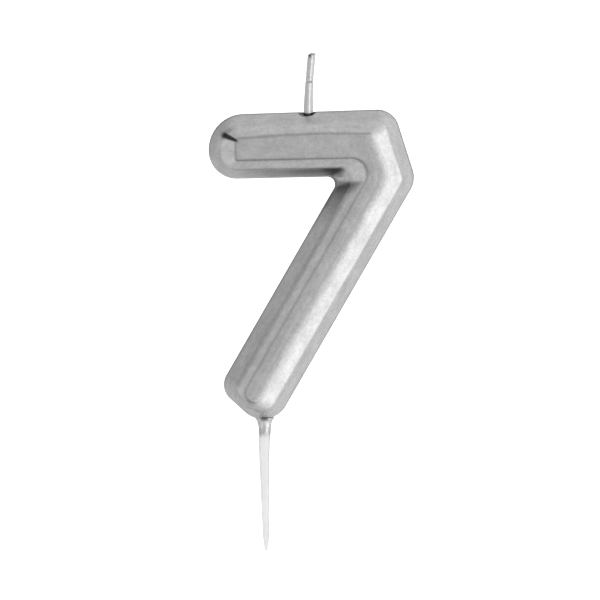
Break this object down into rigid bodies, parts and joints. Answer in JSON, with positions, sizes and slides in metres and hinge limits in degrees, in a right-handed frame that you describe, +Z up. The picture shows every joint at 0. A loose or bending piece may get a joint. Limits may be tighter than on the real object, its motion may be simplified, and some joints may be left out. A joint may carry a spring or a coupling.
{
  "type": "number birthday candle",
  "caption": "Moulded wax candle in the shape of a seven, with bevelled sides, a metallic silver coat, a short cotton wick and a plastic pick that stands it in a cake.",
  "frame": {"origin": "on the axis of the plastic pick, at the lowest point of the numeral's foot, where the cake's surface comes", "axes": "+X to the numeral's right as it is read, +Y out of its back panel, +Z up along the pick"},
  "size_m": [0.0464, 0.0136, 0.1139],
  "materials": {
    "silver_coat": "semi-gloss silver lacquer with aluminium pigment, on wax",
    "wax": "cast paraffin wax, dull white",
    "cotton": "braided cotton soaked in wax",
    "clear_plastic": "moulded translucent plastic, its root dulled by silver lacquer"
  },
  "bodies": {
    "root": {"silver_coat": "silver_coat", "wax_core": "wax", "wick": "cotton", "cake_pick": "clear_plastic"}
  },
  "joints": []
}
